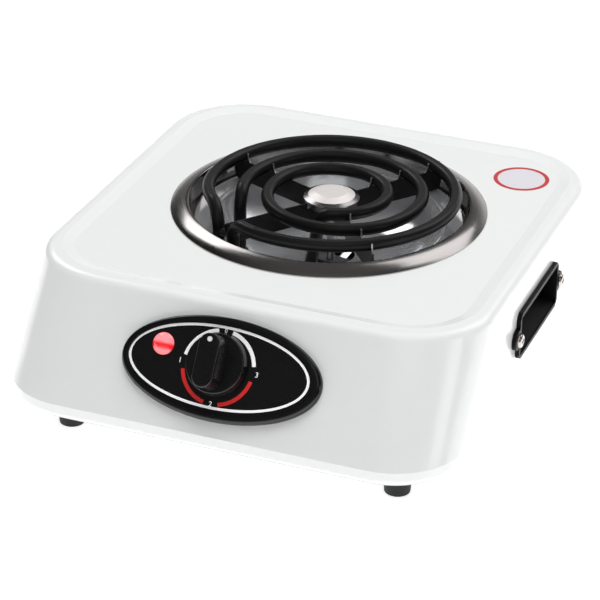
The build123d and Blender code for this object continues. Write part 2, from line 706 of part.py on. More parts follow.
grip_low = grip_z - grip_opening[1] / 2
grip_high = grip_z + grip_opening[1] / 2
mouth = half_width + grip_proud
back = half_width - grip_depth
frame_size = (grip_opening[0] + 2 * grip_rim, grip_opening[1] + 2 * grip_rim)
screw_list = []
for side, sign in (("right", 1), ("left", -1)):
    grip_section = Plane((0, body_y + grip_y, 0), x_dir=(sign, 0, 0), z_dir=(0, -sign, 0))
    wall_plane = Plane((sign * (half_width + 0.1), body_y + grip_y, grip_z), x_dir=(0, sign, 0),
                       z_dir=(sign, 0, 0))
    with BuildPart() as grip:
        # Frame and ears on the wall
        with BuildSketch(wall_plane):
            with BuildLine():
                Polyline((-frame_size[0] / 2, -frame_size[1] / 2), (frame_size[0] / 2, -frame_size[1] / 2),
                         (frame_size[0] / 2, frame_size[1] / 2), (-frame_size[0] / 2, frame_size[1] / 2),
                         close=True)
            make_face()
            chamfer(vertices(), 3.5)
        extrude(amount=grip_proud - 0.1)
        with BuildSketch(wall_plane):
            SlotCenterToCenter(ear_spacing, 12)
        extrude(amount=grip_proud - 0.1)
        # Pocket through the wall
        with BuildSketch(grip_section):
            with BuildLine():
                outside = Line((mouth - 1.1, grip_low - grip_wall), (half_width + 0.6, grip_low - grip_wall))
                scoop = ThreePointArc(outside @ 1, (half_width - 7.2, grip_low + 3.7), (back, grip_high - 9))
                Polyline(scoop @ 1, (back, grip_high + grip_wall), (mouth - 1.1, grip_high + grip_wall),
                         outside @ 0)
            make_face()
        extrude(amount=grip_opening[0] / 2 + grip_wall, both=True)
        with BuildSketch(grip_section):
            with BuildLine():
                inside = Line((mouth + 1, grip_low), (mouth - 1, grip_low))
                scoop = ThreePointArc(inside @ 1, (half_width - 6.6, grip_low + 4.8),
                                      (back + grip_wall, grip_high - 8.4))
                Polyline(scoop @ 1, (back + grip_wall, grip_high), (mouth + 1, grip_high), inside @ 0)
            make_face()
        extrude(amount=grip_opening[0] / 2, both=True, mode=Mode.SUBTRACT)
        with BuildSketch(wall_plane):
            with Locations((-ear_spacing / 2, 0), (ear_spacing / 2, 0)):
                Circle(2.1)
        extrude(amount=8, both=True, mode=Mode.SUBTRACT)
    grip.part.label = f"{side}_handle"
    export_step(grip.part, f"parts/{side}_handle.step")
    for reach in (-ear_spacing / 2, ear_spacing / 2):
        head_plane = Plane((sign * mouth, body_y + grip_y + reach, grip_z), z_dir=(sign, 0, 0))
        screw_list.append(screw(head_plane, 4.1, 2.5, 1.9, 12))
handle_screws = Part(children=screw_list)
handle_screws.label = "handle_screws"
export_step(handle_screws, "parts/handle_screws.step")

# ---- Mains connection and wiring ----------------------------------------------------------------

block_place = (-62, half_depth - 37.1)
with BuildPart() as terminal_block:
    with BuildSketch(Plane((block_place[0], body_y + block_place[1], base_z))):
        RectangleRounded(34, 18, 2)
    extrude(amount=15)
    with BuildSketch(Plane((block_place[0], body_y + block_place[1], base_z + 15))):
        with GridLocations(11, 1, 3, 1):
            Circle(2.4)
    extrude(amount=-6, mode=Mode.SUBTRACT)
terminal_block.part.label = "terminal_block"
export_step(terminal_block.part, "parts/terminal_block.step")

earth_screw = screw(Plane((earth_place[0], body_y + earth_place[1], base_z)), 3.8, 2.4, 1.7, 5)
earth_screw.label = "earth_screw"
export_step(earth_screw, "parts/earth_screw.step")


def bend_radii(points):
    """As large a bend at each corner as the two runs beside it allow."""
    radii = []
    for before, corner, after in zip(points, points[1:], points[2:]):
        run_in = corner - before
        run_out = after - corner
        half_turn = radians(run_in.get_angle(run_out) / 2)
        radii.append(0.45 * min(run_in.length, run_out.length) / tan(half_turn))
    return radii


def lead(points, wire_radius):
    """One insulated wire along hand-chosen points."""
    corners = [Vector(*point) for point in points]
    with BuildPart() as wire:
        with BuildLine() as route:
            FilletPolyline(*corners, radius=bend_radii(corners))
        with BuildSketch(Plane(route.line @ 0, z_dir=route.line % 0)):
            Circle(wire_radius)
        sweep()
    return wire.part


def behind_tag(number, out=-31.1):
    """A point on the line of a switch tag, which ends at 31 behind the wall."""
    across, up = tag_places[number]
    return panel_point(across, up, out)


pin_ends = [end + 13.5 * direction for end, direction in tube_ends]
heater_list = []
for number, (pin_end, floor_z) in enumerate(zip(pin_ends, (34, 38, 32, 30))):
    beyond = behind_tag(number, -44)
    middle = ((pin_end.X + beyond.X) / 2, (pin_end.Y + beyond.Y) / 2, floor_z - 2)
    heater_list.append(lead([
        pin_end, (pin_end.X, pin_end.Y, floor_z), middle, beyond, behind_tag(number)], 1.4))
heater_leads = Part(children=heater_list)
heater_leads.label = "heater_leads"
export_step(heater_leads, "parts/heater_leads.step")

lane_x = 34.1 - half_width       # beside the pan, on the left
mains_list = []
for number, block_x, lane in ((4, -65, 0), (5, -57, 5)):
    mains_list.append(lead([
        (block_x, body_y + block_place[1] - 9.4, 31), (block_x, body_y + 68, 31 + lane),
        (lane_x + 6 + lane, body_y + 42, 31), (lane_x + lane, body_y - 4, 31),
        (lane_x + 5 + lane, body_y - 50, 32), (lane_x + 30 + lane, body_y - 84, 34),
        (-38, body_y - half_depth + 35.1 + lane, 38), behind_tag(number, -58),
        behind_tag(number)], 1.4))
mains_leads = Part(children=mains_list)
mains_leads.label = "mains_leads"
export_step(mains_leads, "parts/mains_leads.step")

lamp_list = []
for number, aside in ((6, 2), (7, -2)):
    across, up = lamp_place
    tag_across, tag_up = tag_places[number]
    lamp_list.append(lead([
        panel_point(across + aside, up, -18.1), panel_point(across + aside, up, -34 - aside),
        panel_point((across + tag_across) / 2, up + 3, -46 - aside), behind_tag(number, -44 - aside),
        behind_tag(number)], 0.9))
lamp_leads = Part(children=lamp_list)
lamp_leads.label = "lamp_leads"
export_step(lamp_leads, "parts/lamp_leads.step")
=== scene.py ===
"""Dresses the hot plate burner: its finishes, the dial's print, the knob's knurling and dot, the round film
on the top, and a plain stage."""
import json
import math

import bpy
from mathutils import Matrix, Vector


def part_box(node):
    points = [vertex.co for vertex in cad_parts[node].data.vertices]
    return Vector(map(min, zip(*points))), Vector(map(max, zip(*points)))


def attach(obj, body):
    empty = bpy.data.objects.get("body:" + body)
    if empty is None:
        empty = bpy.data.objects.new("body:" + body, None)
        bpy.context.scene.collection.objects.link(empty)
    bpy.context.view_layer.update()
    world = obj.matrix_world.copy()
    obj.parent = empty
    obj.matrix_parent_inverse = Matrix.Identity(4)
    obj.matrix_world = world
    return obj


bl_info = {
    "name": "Hot plate burner",
    "version": (1, 0, 0),
    "blender": (4, 5, 0),
    "location": "View3D > Sidebar > Hot plate",
    "description": "Finishes, dial print, knob detail, film and stage for a single coil hot plate",
    "category": "Object",
}

MM = 0.001
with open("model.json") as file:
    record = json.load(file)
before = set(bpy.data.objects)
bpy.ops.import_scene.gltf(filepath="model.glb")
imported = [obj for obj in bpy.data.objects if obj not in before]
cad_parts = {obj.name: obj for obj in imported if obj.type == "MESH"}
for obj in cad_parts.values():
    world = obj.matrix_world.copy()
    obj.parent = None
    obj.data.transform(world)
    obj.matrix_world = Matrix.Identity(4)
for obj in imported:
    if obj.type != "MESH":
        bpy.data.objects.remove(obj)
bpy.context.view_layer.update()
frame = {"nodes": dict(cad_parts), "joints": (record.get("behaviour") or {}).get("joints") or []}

# The knob's hinge gives the control panel's place and slope.
KNOB_JOINT = next(joint for joint in frame["joints"] if joint["name"] == "knob_turn")
PANEL_MIDDLE = Vector(KNOB_JOINT["pos_m"])
PANEL_OUT = -Vector(KNOB_JOINT["axis"]).normalized()
PANEL_ACROSS = Vector((1, 0, 0))
PANEL_UP = PANEL_OUT.cross(PANEL_ACROSS).normalized()


def box_middle(node):
    """The middle of a CAD node's box."""
    low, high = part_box(node)
    return (low + high) / 2


def reach(node, origin, direction):
    """How far a CAD node goes from a point in a direction."""
    return max((vertex.co - origin).dot(direction) for vertex in frame["nodes"][node].data.vertices)


FACE_HEIGHT = reach("panel_face", PANEL_MIDDLE, PANEL_OUT)
KNOB_HEIGHT = reach("control_knob", PANEL_MIDDLE, PANEL_OUT)
KNOB_WIDTH = 13.0 * MM          # the bar's width where it meets the skirt
KNURL_SINK = 0.28 * MM          # from that width's edge in to the roots of the points
BURNER_MIDDLE = box_middle("centre_cap")
RING_MIDDLE = box_middle("trim_ring")
LAMP_MIDDLE = box_middle("pilot_lamp_lens")
TUBE_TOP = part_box("inner_element")[1].z
PANEL_SUNK = 1.9 * MM           # from the housing's rim down to its top panel
TOP_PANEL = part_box("body_shell")[1].z - PANEL_SUNK
HORN_REACH = 6.8 * MM           # from the tubes' top down to where the webs' edges turn bright
INK_LIFT = 0.03 * MM            # from a surface up to the ink on it
FILM_LIFT = 0.06 * MM           # from the top panel up to the film's red band
FILM_STEP = 0.02 * MM           # from the band down to the film's middle
DIGIT_SHARE = 0.7               # a digit's height over its font size

# The dial's arcs, each from one angle to another, in degrees clockwise from the top.
WHITE_ARCS = ((11.6, 78.4), (-80, -11.5))
RED_ARCS = ((101.6, 168.2), (-168, -101.9))
# The dial's digits. Each has its angle, how far it lies outside the middle of the arcs' width, and its share
# of the full height.
DIGITS = (("0", 0, 0.0, 0.8), ("3", 90, 2.2 * MM, 1.0), ("2", 180, 0.0, 1.0), ("1", 270, 2.2 * MM, 1.0))

# The softboxes aim at the part's foot. Each has its side, its place, and whether it shows in reflections.
SOFTBOXES = {
    "front": (1.1, (0.47, -1.11, 1.54), True),
    "rear": (1.2, (0.70, 1.10, 1.43), True),
    "left": (0.8, (-1.28, 0.98, 1.40), True),
    "right": (0.5, (1.70, -0.38, 0.50), True),
    "overhead_fill": (1.5, (0.05, 0.10, 1.80), False),
}
FLOOR_REACH = 6.0               # from the part to the floor's edge, in metres
SENSOR_WIDTH = 36               # in millimetres


# ---- Settings -----------------------------------------------------------------------------------


def colour_setting(name, description, default):
    """A colour that a user may change."""
    return bpy.props.FloatVectorProperty(name=name, description=description, subtype="COLOR", size=3,
                                         min=0, max=1, default=default)


def length_setting(name, description, millimetres):
    """A length that a user may change."""
    return bpy.props.FloatProperty(name=name, description=description, unit="LENGTH", precision=4,
                                   default=millimetres * MM)


def strength_setting(name, description, default):
    """A brightness or a power that a user may change."""
    return bpy.props.FloatProperty(name=name, description=description, default=default, min=0)


class FinishSettings(bpy.types.PropertyGroup):
    """Colours of the object's finishes."""
    enamel: colour_setting("Enamel", "Colour of the housing's enamel", (0.865, 0.88, 0.872))
    ground: colour_setting("Ground coat", "Colour of the enamel inside the housing", (0.012, 0.013, 0.016))
    steel: colour_setting("Steel", "Colour of the brushed trim ring", (0.50, 0.475, 0.465))
    sheath: colour_setting("Tube sheath", "Colour of the heating tubes", (0.0065, 0.0062, 0.0062))
    plastic: colour_setting("Black plastic", "Colour of the knob, bezel and grips", (0.0055, 0.0055, 0.0058))
    lamp: colour_setting("Lamp", "Colour of the pilot lamp's lens", (0.80, 0.03, 0.035))


class DialSettings(bpy.types.PropertyGroup):
    """Sizes of the print on the control panel."""
    middle_across: length_setting("Middle across", "The print's middle, right of the knob's axis", 0.8)
    middle_up: length_setting("Middle up", "The print's middle, above the knob's axis", -1.6)
    oval_across: length_setting("Oval half width", "Half width of the white oval line", 53.8)
    oval_up: length_setting("Oval half height", "Half height of the white oval line", 23.4)
    line_width: length_setting("Line width", "Width of the oval line", 1.5)
    arc_outer: length_setting("Arc outside", "Outer radius of the dial's arcs", 21.8)
    arc_inner: length_setting("Arc inside", "Inner radius of the dial's arcs", 19.6)
    digit_height: length_setting("Digit height", "Height of the dial's digits", 2.9)
    white: colour_setting("White ink", "Colour of the white print", (0.95, 0.95, 0.95))
    red: colour_setting("Red ink", "Colour of the red print", (0.75, 0.025, 0.025))


class KnobSettings(bpy.types.PropertyGroup):
    """Sizes of the knurling on the bar's flanks, and of the dot on its top."""
    knurl_long: length_setting("Knurl length", "Length of the knurled field", 17.6)
    knurl_high: length_setting("Knurl height", "Height of the knurled field", 12.1)
    knurl_pitch: length_setting("Knurl pitch", "Distance from point to point", 1.1)
    knurl_depth: length_setting("Knurl depth", "Height of each point", 0.28)
    knurl_out: length_setting("Knurl place", "Middle of the field above the panel", 15.9)
    dot_radius: length_setting("Dot radius", "Radius of the white dot", 1.45)
    dot_reach: length_setting("Dot reach", "The dot's distance from the knob's axis", 11.8)


class MarkSettings(bpy.types.PropertyGroup):
    """Sizes of the plain round film on the top."""
    across: length_setting("Across", "The film's middle, right of the top's middle", 96.3)
    along: length_setting("Along", "The film's middle, behind the burner's middle", 84.6)
    radius: length_setting("Radius", "Radius of the film", 17.2)
    band: length_setting("Band", "Width of the red band at its edge", 2.6)
    red: colour_setting("Band colour", "Colour of the red band", (0.56, 0.055, 0.055))


class StageSettings(bpy.types.PropertyGroup):
    """Light, floor and camera."""
    horizon: strength_setting("Horizon", "Brightness of the room at eye level", 0.8)
    zenith: strength_setting("Zenith", "Brightness of the room overhead", 0.1)
    glow: strength_setting("Floor glow", "Light that the white floor gives off", 0.76)
    front: strength_setting("Front", "Power of the softbox above the camera", 2.0)
    rear: strength_setting("Rear", "Power of the softbox above and behind", 6.8)
    left: strength_setting("Left", "Power of the left rear softbox", 6.0)
    right: strength_setting("Right", "Power of the low right softbox", 1.5)
    overhead_fill: strength_setting("Overhead fill", "Power of the soft light from above", 29.5)
    lens: bpy.props.FloatProperty(name="Lens", description="Focal length in millimetres", default=156.9)
    azimuth: bpy.props.FloatProperty(name="Azimuth", description="Camera's turn round the object",
                                     subtype="ANGLE", default=math.radians(20.6))
    elevation: bpy.props.FloatProperty(name="Elevation", description="Camera's height above the horizon",
                                       subtype="ANGLE", default=math.radians(27.3))
    roll: bpy.props.FloatProperty(name="Roll", description="Camera's turn about its own line of sight",
                                  subtype="ANGLE", default=math.radians(1.1))
    distance: length_setting("Distance", "From the camera to the point that it looks at", 1573.3)
    target: bpy.props.FloatVectorProperty(name="Target", description="The point that the camera looks at",
                                          subtype="TRANSLATION", default=(-0.0060, 0.00188, 0.040))


# ---- Shader maths -------------------------------------------------------------------------------


class Amount:
    """A number that changes over a surface. Sums and products of it add Math nodes."""

    def __init__(self, shading, socket):
        self.shading = shading
        self.socket = socket

    def maths(self, operation, *values):
        """A Math node's result."""
        node = self.shading.node("ShaderNodeMath", {"operation": operation}, dict(enumerate(values)))
        return Amount(self.shading, node.outputs[0])

    def __add__(self, other):
        return self.maths("ADD", self, other)

    __radd__ = __add__

    def __sub__(self, other):
        return self.maths("SUBTRACT", self, other)

    def __rsub__(self, other):
        return self.maths("SUBTRACT", other, self)

    def __mul__(self, other):
        return self.maths("MULTIPLY", self, other)

    __rmul__ = __mul__

    def __pow__(self, other):
        return self.maths("POWER", self, other)

    def __abs__(self):
        return self.maths("ABSOLUTE", self)

    def above(self, limit):
        """1 where the number is more than a limit."""
        return self.maths("GREATER_THAN", self, limit)

    def rise(self, low, high, first=0.0, last=1.0):
        """Goes smoothly from a first value at one limit to a last value at another."""
        ranged = self.shading.node("ShaderNodeMapRange", {"interpolation_type": "SMOOTHSTEP"}, {
            "Value": self, "From Min": low, "From Max": high, "To Min": first, "To Max": last})
        return Amount(self.shading, ranged.outputs[0])

    def angle_to(self, other):
        """The angle of the point (other, self)."""
        return self.maths("ARCTAN2", self, other)

    def clamped(self):
        """The number held between 0 and 1."""
        return self.maths("MINIMUM", self.maths("MAXIMUM", self, 0.0), 1.0)


class Shading:
    """A node tree that nodes are added to."""

    def __init__(self, tree):
        self.tree = tree

    def node(self, kind, settings=None, inputs=None):
        """A node with its settings made first, and then its sockets filled or linked."""
        node = self.tree.nodes.new(kind)
        for key, value in (settings or {}).items():
            setattr(node, key, value)
        for key, value in (inputs or {}).items():
            self.feed(node.inputs[key], value)
        return node

    def feed(self, socket, value):
        """Links a socket, or sets its value."""
        if isinstance(value, Amount):
            self.tree.links.new(value.socket, socket)
        elif isinstance(value, bpy.types.NodeSocket):
            self.tree.links.new(value, socket)
        else:
            socket.default_value = value

    def split(self, vector):
        """A vector's X, Y and Z."""
        parts = self.node("ShaderNodeSeparateXYZ", None, {0: vector})
        return [Amount(self, output) for output in parts.outputs]


class Finish(Shading):
    """A material with one Principled shader. It starts with an even colour, roughness and share of metal,
    which a finish's patterns may then vary."""

    def __init__(self, name, colour, roughness, metallic=0.0, sockets=None):
        self.material = bpy.data.materials.new(name)
        self.material.use_nodes = True
        super().__init__(self.material.node_tree)
        self.shader = self.tree.nodes["Principled BSDF"]
        self.set("Base Color", (*colour, 1))
        self.set("Roughness", roughness)
        self.set("Metallic", metallic)
        for socket, value in (sockets or {}).items():
            self.set(socket, value)

    def set(self, socket, value):
        """Feeds one of the shader's sockets."""
        self.feed(self.shader.inputs[socket], value)

    def way_from(self, middle):
        """The vector from a point to each spot on the object."""
        coordinates = self.node("ShaderNodeTexCoord").outputs["Object"]
        return self.node("ShaderNodeMapping", {"vector_type": "POINT"}, {
            "Vector": coordinates, "Location": tuple(-value for value in middle)}).outputs[0]

    def place(self, middle=(0, 0, 0)):
        """X, Y and Z over the object, measured from a point."""
        return self.split(self.way_from(middle))

    def facing(self, direction):
        """How squarely the surface faces a direction, which may change over the surface."""
        normal = self.node("ShaderNodeNewGeometry").outputs["Normal"]
        direction = direction if isinstance(direction, bpy.types.NodeSocket) else tuple(direction)
        dot = self.node("ShaderNodeVectorMath", {"operation": "DOT_PRODUCT"}, {0: normal, 1: direction})
        return Amount(self, dot.outputs["Value"])

    def along(self, direction, middle):
        """How far a point lies from a middle in a direction."""
        x, y, z = self.place(middle)
        return x * direction[0] + y * direction[1] + z * direction[2]

    def noise(self, x, y, z, detail=2.0):
        """Noise on three coordinates, which their factors make finer or broader."""
        joined = self.node("ShaderNodeCombineXYZ", None, {0: x, 1: y, 2: z})
        noise = self.node("ShaderNodeTexNoise", None, {
            "Vector": joined.outputs[0], "Scale": 1.0, "Detail": detail})
        return Amount(self, noise.outputs["Fac"])

    def blend(self, share, first, second):
        """A colour between two colours, each of them fixed or another node's."""
        first, second = (colour if isinstance(colour, bpy.types.NodeSocket) else (*colour, 1)
                         for colour in (first, second))
        return self.node("ShaderNodeMix", {"data_type": "RGBA"}, {0: share, 6: first, 7: second}).outputs[2]

    def bump(self, height, depth):
        """Raises the surface by a pattern, with its depth in metres."""
        bump = self.node("ShaderNodeBump", None, {"Strength": 1.0, "Distance": depth, "Height": height})
        self.set("Normal", bump.outputs[0])


# ---- Finishes -----------------------------------------------------------------------------------


def shade(colour, share):
    """A colour made darker or paler."""
    return tuple(share * value for value in colour)


def away(x, y):
    """How far a spot lies from an upright axis."""
    return (x * x + y * y) ** 0.5


def glossy_enamel(colour, ground):
    """Thick white enamel with a faint ripple outside, and a dark ground coat inside the housing."""
    finish = Finish("glossy_enamel", colour, roughness=0.2, sockets={
        "Coat Weight": 0.35, "Coat Roughness": 0.06})
    x, y, z = finish.place()
    ripple = finish.noise(x * 160, y * 160, z * 160, detail=1.0)
    finish.bump(ripple, 0.00002)
    # Outside faces look away from a point low in the housing.
    low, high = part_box("body_shell")
    middle = ((low.x + high.x) / 2, (low.y + high.y) / 2, low.z + 10 * MM)
    outside = finish.facing(finish.way_from(middle)).above(0.0)
    pale = finish.blend(ripple, shade(colour, 0.985), colour)
    finish.set("Base Color", finish.blend(outside, ground, pale))
    return finish.material


def brushed_ring_steel(colour):
    """Steel brushed round the burner, with a polished lip."""
    finish = Finish("brushed_ring_steel", colour, roughness=0.3, metallic=1.0)
    x, y, z = finish.place(RING_MIDDLE)
    radius = away(x, y)
    turn = y.angle_to(x)
    fine = finish.noise(radius * 5200, turn * 2.0, z * 5200, detail=2.0)
    broad = finish.noise(radius * 900, turn * 5.0, 0.0, detail=1.0)
    lip = 1 - radius.rise(85.4 * MM, 86.6 * MM)
    finish.set("Base Color", finish.blend(fine * 0.6 + broad * 0.4, shade(colour, 0.84), colour))
    finish.set("Roughness", (0.12 + 0.14 * fine) * (1 - lip) + 0.1 * lip)
    finish.bump(fine, 0.00001)
    return finish.material


def mirror_pan():
    """Polished pan with faint draw marks round the bowl and wipe marks down it."""
    finish = Finish("mirror_pan", (0.70, 0.71, 0.725), roughness=0.1, metallic=0.72)
    x, y, _ = finish.place(RING_MIDDLE)
    turn = y.angle_to(x)
    radius = away(x, y)
    wipes = finish.noise(turn * 3.0, radius * 40, 0.0, detail=1.0)
    rings = finish.noise(radius * 1400, turn, 0.0, detail=2.0)
    finish.set("Roughness", 0.08 + 0.14 * wipes)
    finish.set("Base Color", finish.blend(wipes, (0.66, 0.67, 0.69), (0.76, 0.77, 0.79)))
    finish.bump(rings, 0.000002)
    return finish.material


def black_sheath(colour):
    """Satin black tube, a little duller on its flattened top, which is also painted paler as a painted sheen.
    """
    finish = Finish("black_sheath", colour, roughness=0.34, sockets={"Specular IOR Level": 0.3})
    x, y, z = finish.place()
    flat = z.above(TUBE_TOP - 0.3 * MM) * finish.facing((0, 0, 1)).above(0.97)
    grain = finish.noise(x * 900, y * 900, z * 900)
    blotches = finish.noise(x * 70, y * 70, z * 70)
    # The flattened top is painted paler, at least halfway to 2.6 times the colour: a painted sheen. The
    # blotches add random tone.
    finish.set("Base Color", finish.blend(flat * 0.5 + blotches * 0.3, colour, shade(colour, 2.6)))
    finish.set("Roughness", 0.3 + 0.1 * flat + 0.1 * grain)
    finish.bump(grain, 0.000008)
    return finish.material


def cut_web(name, across, horns_from):
    """Dark sheet whose sheared horns are bare metal at their edges."""
    dark = (0.011, 0.0105, 0.0105)
    finish = Finish(name, dark, roughness=0.4, metallic=0.3)
    x, y, z = finish.place()
    edge = (1 - abs(finish.facing(across)).above(0.5)) * z.above(horns_from)
    scale = finish.noise(x * 500, y * 500, z * 500)
    worn = edge * scale.rise(0.25, 0.55)
    finish.set("Base Color", finish.blend(worn, dark, (0.80, 0.74, 0.70)))
    finish.set("Metallic", 0.2 + 0.8 * worn)
    finish.set("Roughness", 0.34 + 0.14 * scale)
    return finish.material


def brushed_cap(colour):
    """Cap with a flat top, brushed straight across and painted pale as a painted reflection, and a polished
    rim.
    """
    finish = Finish("brushed_cap", colour, roughness=0.4, metallic=1.0)
    x, y, z = finish.place(BURNER_MIDDLE)
    top = 1 - away(x, y).rise(13.8 * MM, 14.4 * MM)
    grain = finish.noise(x * 150, y * 6500, z * 300, detail=2.0)
    scuffs = finish.noise(x * 60, y * 800, 0.0, detail=1.0)
    pale = finish.blend(grain * 0.5 + scuffs * 0.5, shade(colour, 0.8), colour)
    # Within about 14 mm of the middle the cap is painted pale grey and made less metallic: a painted
    # reflection. The brushing and scuffs are real.
    finish.set("Base Color", finish.blend(top, (0.42, 0.41, 0.41), pale))
    finish.set("Metallic", 1 - 0.65 * top)
    finish.set("Roughness", 0.18 + 0.2 * top + 0.1 * grain)
    finish.bump(grain * top, 0.00001)
    return finish.material


def satin_plastic(name, colour, roughness, grain=0.00001, specular=0.5):
    """Moulded plastic with a fine texture."""
    finish = Finish(name, colour, roughness, sockets={"Specular IOR Level": specular})
    x, y, z = finish.place()
    texture = finish.noise(x * 2500, y * 2500, z * 2500)
    finish.set("Roughness", roughness - 0.03 + 0.06 * finish.noise(x * 90, y * 90, z * 90))
    finish.bump(texture, grain)
    return finish.material


def plain_metal(name, colour, roughness=0.3):
    """Plated or bare metal with slight unevenness."""
    finish = Finish(name, colour, roughness, metallic=1.0)
    x, y, z = finish.place()
    mottle = finish.noise(x * 400, y * 400, z * 400)
    finish.set("Base Color", finish.blend(mottle, shade(colour, 0.9), colour))
    finish.set("Roughness", roughness - 0.05 + 0.1 * mottle)
    return finish.material


def lamp_lens(colour):
    """Red lens with a faint glow, painted pale above and at its foot as painted highlights, deep red between.
    """
    finish = Finish("lamp_lens", colour, roughness=0.12, sockets={
        "Coat Weight": 1.0, "Coat Roughness": 0.04, "Emission Strength": 0.75})
    height = finish.along(PANEL_UP, LAMP_MIDDLE)
    # The pale parts above and at the foot are painted highlights. The mask named glow carries them into the
    # base colour and the glow's colour alike.
    pale = height.rise(-0.6 * MM, 1.8 * MM)
    foot = 1 - height.rise(-4.0 * MM, -1.8 * MM)
    glow = (pale + 0.6 * foot).clamped()
    finish.set("Base Color", finish.blend(glow, colour, (0.90, 0.24, 0.26)))
    finish.set("Emission Color", finish.blend(glow, (0.70, 0.0, 0.01), (1.0, 0.20, 0.22)))
    return finish.material


def ink(name, colour, glow=0.0):
    """Screen-printed ink, a little uneven. A faint glow, painted light, keeps thick white ink bright on a
    sloped face.
    """
    finish = Finish(name, colour, roughness=0.4, sockets={
        "Emission Color": (*colour, 1), "Emission Strength": glow})
    x, y, z = finish.place()
    body = finish.noise(x * 1500, y * 1500, z * 1500)
    finish.set("Base Color", finish.blend(body, shade(colour, 0.93), colour))
    return finish.material


# ---- Meshes -------------------------------------------------------------------------------------


def dress(node, material):
    """Gives a CAD node its finish."""
    mesh = frame["nodes"][node].data
    mesh.materials.clear()
    mesh.materials.append(material)


def new_piece(name, points, faces, material, body, slot):
    """A mesh that rides on a CAD body."""
    mesh = bpy.data.meshes.new(name)
    mesh.from_pydata([tuple(point) for point in points], [], faces)
    mesh.materials.append(material)
    piece = bpy.data.objects.new(name, mesh)
    bpy.context.scene.collection.objects.link(piece)
    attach(piece, body)


def on_panel(across, up, out):
    """A point given along the control panel's own directions."""
    return PANEL_MIDDLE + across * PANEL_ACROSS + up * PANEL_UP + out * PANEL_OUT


def clock_point(radius, degrees):
    """Across and up, for an angle counted clockwise from the top."""
    return radius * math.sin(math.radians(degrees)), radius * math.cos(math.radians(degrees))


def strip(place, inner, outer, steps):
    """Points and faces of a band between two lines, each given as a function of a share from 0 to 1."""
    points = []
    for step in range(steps + 1):
        share = step / steps
        points += [place(*inner(share)), place(*outer(share))]
    faces = [(2 * i, 2 * i + 1, 2 * i + 3, 2 * i + 2) for i in range(steps)]
    return points, faces


def disc(place, radius, steps=48):
    """Points and one face of a flat disc."""
    points = [place(radius * math.cos(math.tau * i / steps), radius * math.sin(math.tau * i / steps))
              for i in range(steps)]
    return points, [tuple(range(steps))]


def text_points(letters, height, place):
    """Points and faces of flat letters, centred, placed by a function of across and up."""
    curve = bpy.data.curves.new("letters", "FONT")
    curve.body = letters
    curve.align_x = "CENTER"
    curve.align_y = "CENTER"
    curve.size = height / DIGIT_SHARE
    holder = bpy.data.objects.new("letters", curve)
    bpy.context.scene.collection.objects.link(holder)
    bpy.context.view_layer.update()
    evaluated = holder.evaluated_get(bpy.context.evaluated_depsgraph_get())
    mesh = bpy.data.meshes.new_from_object(evaluated)
    points = [place(vertex.co.x, vertex.co.y) for vertex in mesh.vertices]
    faces = [tuple(polygon.vertices) for polygon in mesh.polygons]
    bpy.data.objects.remove(holder)
    bpy.data.curves.remove(curve)
    bpy.data.meshes.remove(mesh)
    return points, faces


def joined(shapes):
    """Several lists of points and faces as one."""
    points = []
    faces = []
    for more_points, more_faces in shapes:
        start = len(points)
        points += more_points
        faces += [tuple(start + index for index in face) for face in more_faces]
    return points, faces


def knurl_tree():
    """Geometry Nodes that set rows of small points on both flanks of a bar."""
    tree = bpy.data.node_groups.new("knurling", "GeometryNodeTree")
    tree.interface.new_socket("Geometry", in_out="OUTPUT", socket_type="NodeSocketGeometry")
    for name, kind in (("Columns", "NodeSocketInt"), ("Rows", "NodeSocketInt"), ("Pitch", "NodeSocketFloat"),
                       ("Depth", "NodeSocketFloat"), ("Flank", "NodeSocketFloat"),
                       ("Material", "NodeSocketMaterial")):
        tree.interface.new_socket(name, in_out="INPUT", socket_type=kind)
    node = Shading(tree).node
    given = node("NodeGroupInput").outputs

    def times(first, second):
        return node("ShaderNodeMath", {"operation": "MULTIPLY"}, {0: first, 1: second}).outputs[0]

    def less_one(count):
        return node("ShaderNodeMath", {"operation": "SUBTRACT"}, {0: count, 1: 1.0}).outputs[0]

    pitch = given["Pitch"]
    field = node("GeometryNodeMeshGrid", None, {
        "Size X": times(less_one(given["Rows"]), pitch), "Size Y": times(less_one(given["Columns"]), pitch),
        "Vertices X": given["Rows"], "Vertices Y": given["Columns"]})
    point = node("GeometryNodeMeshCone", {"fill_type": "NONE"}, {
        "Vertices": 4, "Radius Top": 0.0, "Radius Bottom": times(pitch, 0.5), "Depth": given["Depth"]})
    points = node("GeometryNodeInstanceOnPoints", None, {
        "Points": field.outputs["Mesh"], "Instance": point.outputs["Mesh"]})
    real = node("GeometryNodeRealizeInstances", None, {0: points.outputs[0]})
    # Stands the field up, facing X, and moves it out to the flank.
    place = node("ShaderNodeCombineXYZ", None, {"X": given["Flank"]})
    right = node("GeometryNodeTransform", None, {
        "Geometry": real.outputs[0], "Rotation": (0.0, math.radians(90), 0.0),
        "Translation": place.outputs[0]})
    left = node("GeometryNodeTransform", None, {
        "Geometry": right.outputs[0], "Rotation": (0.0, 0.0, math.radians(180))})
    both = node("GeometryNodeJoinGeometry")
    for side in (right, left):
        tree.links.new(side.outputs[0], both.inputs[0])
    finished = node("GeometryNodeSetMaterial", None, {
        "Geometry": both.outputs[0], "Material": given["Material"]})
    node("NodeGroupOutput", None, {0: finished.outputs[0]})
    return tree


# ---- Stage --------------------------------------------------------------------------------------


def light_room(scene, stage):
    """A white room that is darker overhead and at its sides."""
    world = bpy.data.worlds.new("studio")
    scene.world = world
    world.use_nodes = True
    room = Shading(world.node_tree)
    aside, _, height = room.split(room.node("ShaderNodeTexCoord").outputs["Generated"])
    background = room.tree.nodes["Background"]
    room.feed(background.inputs["Color"], (1, 1, 1, 1))
    room.feed(background.inputs["Strength"],
              height.rise(0.0, 0.42, stage.horizon, stage.zenith) * abs(aside).rise(0.2, 0.8, 1.0, 0.12))


